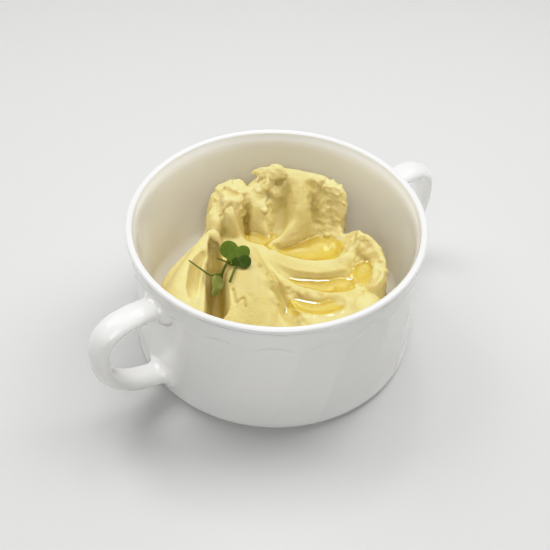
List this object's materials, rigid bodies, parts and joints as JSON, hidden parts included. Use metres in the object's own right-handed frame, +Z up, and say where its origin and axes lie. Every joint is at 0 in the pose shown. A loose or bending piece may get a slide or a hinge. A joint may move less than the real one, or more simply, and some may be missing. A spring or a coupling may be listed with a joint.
{
  "type": "mashed potato side in a soup cup",
  "caption": "White two-handled porcelain soup cup holding a spooned heap of mashed potato, with oil in its hollows and small salad sprouts on top.",
  "frame": {"origin": "on the surface the cup stands on, under the middle of the cup", "axes": "+Z up, the two handles along X"},
  "size_m": [0.1538, 0.105, 0.0533],
  "materials": {
    "porcelain": "clear gloss glaze over white body",
    "mash": "moist, smooth in the spoon strokes and torn between them",
    "oil": "clear golden oil, wet",
    "leaf_bright": "satin leaf",
    "leaf_dark": "satin leaf",
    "leaf_pale": "dull underside of a leaf"
  },
  "bodies": {
    "root": {"bowl": "porcelain", "mash": "mash", "oil_back": "oil", "oil_centre": "oil", "oil_middle": "oil", "oil_right": "oil", "oil_front": "oil", "sprout_bright": "leaf_bright", "sprout_dark": "leaf_dark", "sprout_pale": "leaf_pale"}
  },
  "joints": []
}
